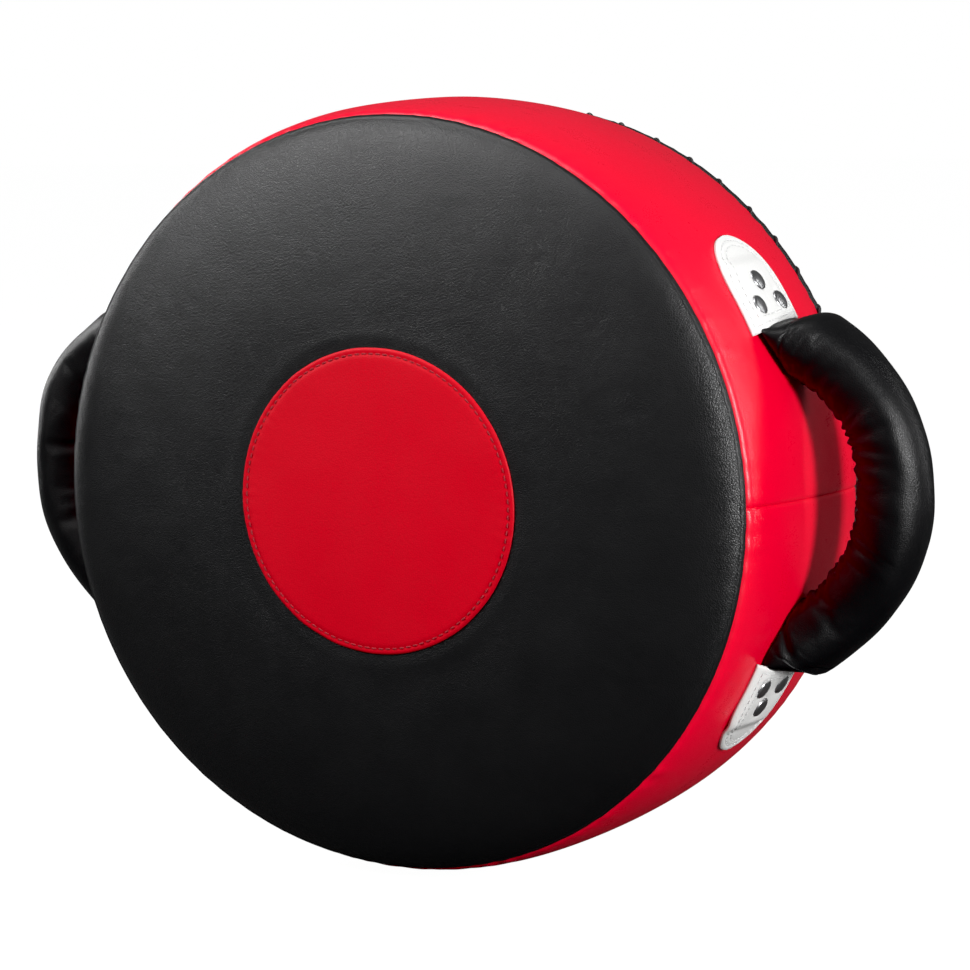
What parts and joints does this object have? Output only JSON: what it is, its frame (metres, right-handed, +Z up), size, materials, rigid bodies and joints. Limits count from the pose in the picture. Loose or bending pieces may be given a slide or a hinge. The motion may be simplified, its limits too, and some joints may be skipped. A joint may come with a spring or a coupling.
{
  "type": "round punch shield",
  "caption": "Round padded punch shield with a crowned black face, red target disc, red side band and a padded side handle left and right.",
  "frame": {"origin": "centre of the flat back face", "axes": "+Y out of the back face, the struck face looks along -Y; +X through the two handles; +Z up"},
  "size_m": [0.5432, 0.1877, 0.4153],
  "materials": {
    "black_leather": "satin",
    "red_leather": "satin",
    "target_leather": "satin",
    "back_leather": "satin",
    "handle_leather": "satin",
    "white_leather": "satin",
    "black_cord": "matte",
    "pale_foam": "matte",
    "grey_foam": "matte",
    "strap_leather": "matte",
    "backing_board": "matte",
    "rivet_metal": "polished",
    "washer_metal": "satin"
  },
  "bodies": {
    "shield": {"face_panel": "black_leather", "target_disc": "target_leather", "side_band_upper": "red_leather", "side_band_lower": "red_leather", "back_panel": "back_leather", "edge_lacing": "black_cord", "foam_strike_layer": "pale_foam", "foam_core_layer": "grey_foam", "foam_firm_layer": "pale_foam", "patch_right_upper": "white_leather", "patch_right_lower": "white_leather", "patch_left_upper": "white_leather", "patch_left_lower": "white_leather", "strap_end_right_upper": "strap_leather", "strap_end_right_lower": "strap_leather", "strap_end_left_upper": "strap_leather", "strap_end_left_lower": "strap_leather", "backing_right_upper": "backing_board", "backing_right_lower": "backing_board", "backing_left_upper": "backing_board", "backing_left_lower": "backing_board", "rivets_right_upper": "rivet_metal", "rivets_right_lower": "rivet_metal", "rivets_left_upper": "rivet_metal", "rivets_left_lower": "rivet_metal", "washers_right_upper": "washer_metal", "washers_right_lower": "washer_metal", "washers_left_upper": "washer_metal", "washers_left_lower": "washer_metal"},
    "handle_right": {"handle_right_cover": "handle_leather", "handle_right_padding": "pale_foam", "handle_right_strap": "strap_leather"},
    "handle_left": {"handle_left_cover": "handle_leather", "handle_left_padding": "pale_foam", "handle_left_strap": "strap_leather"}
  },
  "joints": [
    {"name": "handle_right_swing", "type": "hinge", "parent": "shield", "child": "handle_right", "pos_m": [0.191, -0.082, 0], "axis": [0, 0, 1], "range_deg": [-30, 30], "stiffness_Nm_per_rad": 0.25},
    {"name": "handle_left_swing", "type": "hinge", "parent": "shield", "child": "handle_left", "pos_m": [-0.191, -0.082, 0], "axis": [0, 0, 1], "range_deg": [-30, 30], "stiffness_Nm_per_rad": 0.25}
  ]
}
